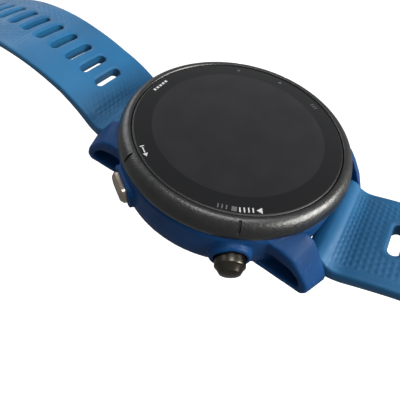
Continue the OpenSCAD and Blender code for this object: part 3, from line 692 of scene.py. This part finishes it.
def bar_cap(key):
    """Bar-shaped cap: bevelled round its rim, with a shallow dished face."""
    top = CASE_R + 2.0
    length, width, corner = 5.92, 3.72, 1.15
    rings = []
    for inset, z in ((0.3, CAP_BACK), (0.0, CAP_BACK + 0.1), (0.0, top - 0.62), (0.04, top - 0.55),
                     (0.50, top - 0.09), (0.56, top - 0.03), (0.66, top), (0.78, top - 0.01),
                     (0.86, top - 0.12), (0.98, top - 0.15)):
        rings.append(level(round_rect(length - 2 * inset, width - 2 * inset, corner - 0.7 * inset), z))
    stem = lathe([(0.001, STEM_END), (1.0, STEM_END), (STEM_R, STEM_END + 0.1), (STEM_R, CAP_BACK + 0.3),
                  (0.001, CAP_BACK + 0.3)], np.arange(0, 360, 6.0), close=False)
    points, faces = gather([skin(rings), stem])
    obj = build(key + "_cap", outward(points, KEY_ANGLES[key]), faces, 24)
    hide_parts(key + "_button")
    return dress(obj, "key_metal", key + "_key")


start_cap()
for key in ("back", "light", "up", "down"):
    bar_cap(key)


# ---------------------------------------------------------------- band

class Path:
    """Where the band's middle line runs, as arcs from the spring bar."""

    def __init__(self, arcs):
        self.rows, s, y, z = [], 0.0, BAR_Y, BAR_Z
        for length, a, b in arcs:
            self.rows.append((s, length, y, z, math.radians(a), math.radians(b)))
            dy, dz = self.step(length, length, math.radians(a), math.radians(b))
            s, y, z = s + length, y + dy, z + dz
        self.length = s

    @staticmethod
    def step(d, length, a, b):
        if a == b:
            return d * math.cos(a), d * math.sin(a)
        k = (b - a) / length
        end = a + k * d
        return (math.sin(end) - math.sin(a)) / k, -(math.cos(end) - math.cos(a)) / k

    def at(self, s):
        if s <= 0:
            return BAR_Y + s, BAR_Z, 0.0
        row = [r for r in self.rows if r[0] <= s][-1]
        s0, length, y, z, a, b = row
        dy, dz = self.step(s - s0, length, a, b)
        return y + dy, z + dz, a + (b - a) * (s - s0) / length

    def place(self, s, points):
        """Points (x across, y along, z up) set on the path at distance s."""
        y, z, a = self.at(s)
        points = np.asarray(points, float)
        return np.stack([points[:, 0], y + points[:, 1] * math.cos(a) - points[:, 2] * math.sin(a),
                         z + points[:, 1] * math.sin(a) + points[:, 2] * math.cos(a)], 1)


def lerp(a, b, k):
    return a + (b - a) * min(1.0, max(0.0, k))


def band_ring(w, t, crown):
    """Section of the band: crowned top, rounded edges, flat underside. The third value is 1 on top."""
    r = min(0.55, t * 0.3)
    half = w / 2
    top_x = np.linspace(-(half - r), half - r, 120)
    top = [(x, t / 2 - crown * (x / half) ** 2, 1.0) for x in top_x]
    edge_z = t / 2 - crown * ((half - r) / half) ** 2
    right = []
    for a in np.radians([68, 46, 24, 4]):
        right.append((half - r + r * math.cos(a), edge_z - r + r * math.sin(a), 0.0))
    low_r = min(0.8, t * 0.3)
    side_low = -t / 2 + low_r
    if edge_z - r - 0.1 > side_low:
        right.append((half, (edge_z - r + side_low) / 2, 0.0))
    else:
        right.append((half, edge_z - r - 0.02, 0.0))
    for a in np.radians([-6, -30, -55, -80]):
        right.append((half - low_r + low_r * math.cos(a), side_low + low_r * math.sin(a), 0.0))
    low = [(x, -t / 2, 0.0) for x in np.linspace(half - low_r - 0.4, -(half - low_r - 0.4), 18)]
    left = [(-x, z, k) for x, z, k in reversed(right)]
    return np.array(top + right + low + left)


GRAIN_PITCH, GRAIN_ROW, GRAIN_TILT = 1.33, 0.97, math.radians(6)
GRAIN_HALF_L, GRAIN_HALF_W = 0.60, 0.36
GRAIN_DEPTH, SHELF_DEPTH = 0.085, 0.07
LIP_DROP, LIP_REACH = 0.30, 0.30
LOW_LIP_DROP, LOW_LIP_REACH = 0.25, 0.35


def grains(s, x):
    """Height of the moulded texture: rows of small ovals, each row shifted by half a pitch."""
    best = np.zeros(len(x))
    first = math.floor(s / GRAIN_ROW) - 1
    for i in range(first, first + 4):
        shift = 0.5 * GRAIN_PITCH * (i % 2)
        dx = (x - shift + GRAIN_PITCH / 2) % GRAIN_PITCH - GRAIN_PITCH / 2
        ds = s - i * GRAIN_ROW
        u = dx * math.cos(GRAIN_TILT) + ds * math.sin(GRAIN_TILT)
        v = -dx * math.sin(GRAIN_TILT) + ds * math.cos(GRAIN_TILT)
        best = np.maximum(best, 1 - (np.abs(u) / GRAIN_HALF_L) ** 2.0 - (np.abs(v) / GRAIN_HALF_W) ** 2.0)
    return np.clip(best, 0, 1) ** 0.7


def slot_distance(s, x, slots):
    """Distance from the nearest slot's edge, negative inside it."""
    best = np.full(len(x), 99.0)
    for k in range(slots):
        ds = s - (SLOT_FIRST + k * SLOT_PITCH)
        dx = np.maximum(np.abs(x) - (SLOT_L - SLOT_W) / 2, 0)
        best = np.minimum(best, np.hypot(dx, ds) - SLOT_W / 2)
    return best


def stations(length, round_l):
    """Distances of the band's sections along its path, closer together at both ends."""
    values = list(-ROOT_R + 0.06 + np.array([0, 0.06, 0.15, 0.3, 0.5, 0.8, 1.2, 1.6, 1.95]))
    values += list(np.arange(0, length - (0.25 if round_l else 0.0), 0.17))
    if round_l:
        return values + list(length - np.array([0.22, 0.12, 0.05, 0.02]))
    return values + list(length + np.array([0, 0.4, 0.8, 1.2, 1.5, 1.7, 1.8, 1.86]))


def section_size(s, length, round_l, end_r):
    """Width, thickness and crown of the band at distance s: barrels at its ends, or a rounded tip."""
    w = lerp(BAND_ROOT_W, BAND_W, (s - 3) / SHOULDER_L)
    t = lerp(2 * BARREL_R - 0.2, BAND_T, s / (2 * SHOULDER_L))
    crown = BAND_CROWN * soft_step(s, -1.5, 4.0)
    round_root = 2 * math.sqrt(max(0.0, ROOT_R ** 2 - s * s)) - 0.1
    t = round_root if s < 0 else max(t, round_root)
    if round_l and s > length - round_l:
        w *= math.sqrt(max(0.012, 1 - ((s - length + round_l) / round_l) ** 2))
    if end_r:
        swell = soft_step(s, length - 6.0, length - 1.0)
        t = lerp(t, 2 * end_r, swell)
        crown *= 1 - 0.7 * swell
        if s > length:
            t = 2 * math.sqrt(max(0.02, end_r ** 2 - (s - length) ** 2))
    if round_l and s > length - 1.2:
        t *= math.sqrt(max(0.1, 1 - ((s - length + 1.2) / 1.25) ** 2))
    return w, t, min(crown, t * 0.45)


def section(s, size, slots, texture):
    """Points across the band at distance s, with its quilt and the lips of its slots."""
    w, t, crown = size
    x, z, on_top = band_ring(w, t, crown).T
    d = slot_distance(s, x, slots)
    strength = texture(s)
    quilt = strength * soft_step(w / 2 - np.abs(x), 1.9, 2.3) * soft_step(d, 0.9, 1.4)
    drop = GRAIN_DEPTH * quilt * (1 - grains(s, x)) + LIP_DROP * np.exp(-(np.maximum(d, 0) / LIP_REACH) ** 2)
    inner_edge = soft_step(np.abs(x), w / 2 - 2.3, w / 2 - 1.9)
    outer_edge = soft_step(np.abs(x), w / 2 - 1.3, w / 2 - 0.9)
    drop += SHELF_DEPTH * inner_edge * strength * (1 - outer_edge)
    low_lip = LOW_LIP_DROP * np.exp(-(np.maximum(d, 0) / LOW_LIP_REACH) ** 2)
    underside = z < -t / 2 + 1e-6
    return np.stack([x, np.zeros(len(x)), z - drop * on_top + low_lip * underside], 1)


def strap(name, path, slots, round_l, texture, end_r):
    """The whole half of the band as one moulding, with its quilt, slot lips and barrels."""
    length = path.length
    rings = [path.place(s, section(s, section_size(s, length, round_l, end_r), slots, texture))
             for s in stations(length, round_l)]
    obj = build(name, *skin(rings))
    cutters = []
    for k in range(slots):
        ends = [level(stadium(SLOT_L, SLOT_W, 12), z) for z in (-3.5, 3.5)]
        cutters.append(skin([path.place(SLOT_FIRST + k * SLOT_PITCH, e) for e in ends]))
    cutters.append(rod(14, BAR_Y, BAR_Z, BORE_R))
    if end_r:
        hinge_y, hinge_z = path.at(length)[:2]
        cutters.append(rod(14, hinge_y, hinge_z, PIN_BORE_R))
    cut(obj, build("cutter", *gather(cutters)))
    lever_window = block(LEVER_X - 2.5, LEVER_X + 1.2, BAR_Y - 1, BAR_Y + 1, BAR_Z - 4, BAR_Z - 0.6)
    cut(obj, build("cutter", *lever_window))
    if end_r:
        notch = block(-NOTCH_HALF, NOTCH_HALF, hinge_y - 5, hinge_y + 2.5, -3, 7)
        cut(obj, build("cutter", *notch))
    smooth(obj, 38)
    return obj


def turned(obj):
    """Half a turn round Z, from the 12 o'clock side to the 6 o'clock side."""
    obj.data.transform(Matrix.Rotation(math.pi, 4, "Z"))
    return obj


long_path, short_path = Path(LONG_PATH), Path(SHORT_PATH)


def long_quilt(s):
    """Strength of the texture along the long half: a short field by the lugs and a long one."""
    end = long_path.length
    return float(soft_step(s, 2.0, 3.0) * (1 - soft_step(s, 8.5, 9.5)) * 0.9
                 + soft_step(s, 27.0, 31.0) * (1 - soft_step(s, end - 13, end - 12)))


def short_quilt(s):
    """Strength of the texture along the short half."""
    end = short_path.length
    return float(soft_step(s, 1.2, 2.0) * (1 - soft_step(s, end - 9, end - 8)))


def flex_ends(path, s, turn):
    """Start and end of the bend round a flex joint, in metres."""
    ends = [path.at(s + d)[:2] for d in (-FLEX_REACH, FLEX_REACH)]
    return [(0.0, turn * y * MM, z * MM) for y, z in ends]


long_strap = turned(strap("band_long_strap", long_path, LONG_SLOTS, 9.0, long_quilt, None))
dress(long_strap, "band_silicone")
flex_ends(long_path, LONG_FLEX_S, -1)
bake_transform(long_strap)
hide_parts("band_long_root", "band_long_tip")

short_strap = strap("band_short_strap", short_path, SHORT_SLOTS, None, short_quilt, END_BARREL_R)
dress(short_strap, "band_silicone")
flex_ends(short_path, SHORT_FLEX_S, 1)
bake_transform(short_strap)
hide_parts("band_short_root", "band_short_tip")


# ---------------------------------------------------------------- keepers and buckle

for name, node, body in (("keeper_loop_fixed", "keeper_fixed", "band_short_far"),
                         ("keeper_loop_sliding", "keeper_sliding", "keeper")):
    dress(softened(name, node, 0.16, 3), "band_silicone", body)
dress(softened("buckle_hoop", "buckle_frame", 0.16, 5), "buckle_polymer", "buckle")
dress(softened("buckle_prong", "buckle_tongue", 0.1, 4), "bar_steel", "tongue")


# ---------------------------------------------------------------- rear sensor

sensor = build("sensor_glass", *lathe(
    [(0.001, 0.0), (3, 0.0), (SENSOR_R - 0.9, 0.02), (SENSOR_R - 0.45, 0.09), (SENSOR_R - 0.2, 0.2),
     (SENSOR_R, 0.42), (SENSOR_R, 1.0), (0.001, 1.0)], close=False), crease=30)
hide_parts("sensor_window")
dress(sensor, "sensor_glass", "case")

lamp_lens = moulded("lamp_lens", srgb(70, 120, 78), 0.15, grain_depth=0.002, coat=0.6)
photo_cell = moulded("photo_cell", srgb(46, 42, 56), 0.18, grain_depth=0.002, coat=0.6)


OPTIC_RING_R, OPTIC_LOW, OPTIC_HIGH = 3.7, 0.002, 0.05


def optic(name, outline, places, material):
    """Small windows in the sensor glass: one outline at several places and turns."""
    windows = []
    for x, y, turn in places:
        c, s = math.cos(math.radians(turn)), math.sin(math.radians(turn))
        flat = np.array([(x + px * c - py * s, y + px * s + py * c) for px, py in outline])
        windows.append(prism(flat, OPTIC_LOW, OPTIC_HIGH))
    return dress(build(name, *gather(windows)), "sensor_glass", "case", material)


cell_angles = (45, 135, 225, 315)
optic("optic_cells", stadium(2.4, 1.7, 8),
      [(OPTIC_RING_R * math.cos(math.radians(a)), OPTIC_RING_R * math.sin(math.radians(a)), a + 90)
       for a in cell_angles], photo_cell)
optic("optic_lamps", stadium(1.8, 1.5, 8),
      [(0, 0, 0), (OPTIC_RING_R, 0, 90), (-OPTIC_RING_R, 0, 90)], lamp_lens)


# ---------------------------------------------------------------- CAD nodes that stay

for node, slot, bevel in (
        ("lens_gasket", "black_rubber", 0.03), ("display_panel", "display_face", 0.05),
        ("display_frame", "frame_polymer", 0.08), ("gps_antenna", "antenna_metal", 0.05),
        ("main_board", "circuit_board", 0.05), ("shield_cans", "tinned_steel", 0.1),
        ("battery_tray", "frame_polymer", 0.08), ("battery", "cell_foil", 0.5),
        ("vibration_motor", "tinned_steel", 0.15), ("buzzer", "contact_gold", 0.15),
        ("switch_flex", "flex_film", 0.03), ("sensor_board", "circuit_board", 0.05),
        ("back_cover", "cover_polymer", 0.12), ("cover_gasket", "red_rubber", 0.05),
        ("back_screws", "screw_steel", 0.06), ("charge_port", "cover_polymer", 0.1),
        ("charge_pins", "contact_gold", 0.06), ("button_seals", "black_rubber", 0.05),
        ("buckle_bar", "bar_steel", 0.12)):
    keep(node, slot, bevel)
for key in KEY_ANGLES:
    keep(key + "_clip", "bar_steel", 0.03)
for side in ("6", "12"):
    for node, bevel in (("bar_tube_", 0.08), ("fixed_pin_", 0.06), ("release_pin_", 0.06),
                        ("bar_spring_", 0.0)):
        keep(node + side, "bar_steel", bevel)


# ---------------------------------------------------------------- studio

def floor():
    # Low enough for the band to hang down freely at the limits of its joints
    size, n, z = 1600, 24, -130
    grid = np.linspace(-size, size, n)
    points = [(x, y, z) for x in grid for y in grid]
    faces = [(i * n + j, (i + 1) * n + j, (i + 1) * n + j + 1, i * n + j + 1)
             for i in range(n - 1) for j in range(n - 1)]
    obj = build("floor", points, faces)
    if obj.data.polygons[0].normal.z < 0:
        obj.data.flip_normals()
    obj.data.materials.append(floor_paper())
    # The backlit paper is seen, but doesn't light the watch from below
    obj.visible_diffuse = False
    obj.visible_glossy = False


floor()


def softbox(name, direction, distance, size, power, tint=(1, 1, 1)):
    light = bpy.data.lights.new(name, "AREA")
    light.shape = "RECTANGLE"
    light.size, light.size_y = size
    light.energy = power
    light.color = tint
    obj = bpy.data.objects.new(name, light)
    way = Vector(direction).normalized()
    obj.location = way * distance
    obj.rotation_euler = (-way).to_track_quat("-Z", "Y").to_euler()
    bpy.context.scene.collection.objects.link(obj)


softbox("key", (-0.22, 0.84, 0.48), 0.60, (0.42, 0.26), 5.8, (1.0, 0.99, 0.94))
softbox("fill", (-0.20, -0.90, 0.50), 0.70, (0.5, 0.4), 1.5, (0.97, 0.98, 1.0))
softbox("top", (-0.02, 0.04, 1.0), 0.8, (0.36, 0.36), 3.1)

world = bpy.data.worlds.new("studio")
world.use_nodes = True
sky = world.node_tree
background = sky.nodes["Background"]
background.inputs["Color"].default_value = (0.97, 0.985, 1.0, 1.0)
place = sky.nodes.new("ShaderNodeTexCoord")
apart = sky.nodes.new("ShaderNodeSeparateXYZ")
# The room is darker downwards and towards +X
rise = sky.nodes.new("ShaderNodeMapRange")
for socket, value in (("From Min", -0.3), ("From Max", 0.7), ("To Min", 0.26), ("To Max", 0.40)):
    rise.inputs[socket].default_value = value
sky.links.new(place.outputs["Generated"], apart.inputs["Vector"])
lean = sky.nodes.new("ShaderNodeMath")
lean.operation = "MULTIPLY_ADD"
lean.inputs[1].default_value = -0.3
sky.links.new(apart.outputs["X"], lean.inputs[0])
sky.links.new(apart.outputs["Z"], lean.inputs[2])
sky.links.new(lean.outputs["Value"], rise.inputs["Value"])
sky.links.new(rise.outputs["Result"], background.inputs["Strength"])
bpy.context.scene.world = world

# The photo's camera, solved from the case's circles and the band's edges
RIGHT = Vector((-0.55453672, 0.82437459, 0.11355862))
DOWN = Vector((0.64817469, 0.51347300, -0.56233002))
AHEAD = Vector((-0.52187987, -0.23822682, -0.81907838))
EYE = Vector((43.118, 14.658, 51.523)) * MM
camera_data = bpy.data.cameras.new("camera")
camera_data.sensor_width = 36.0
camera_data.lens = 27.0
camera_data.clip_start = 0.005
camera = bpy.data.objects.new("camera", camera_data)
camera.matrix_world = Matrix.Translation(EYE) @ Matrix((RIGHT, -DOWN, -AHEAD)).transposed().to_4x4()
bpy.context.scene.collection.objects.link(camera)
bpy.context.scene.camera = camera
bpy.context.scene.view_settings.view_transform = "Standard"
bpy.context.scene.view_settings.look = "None"
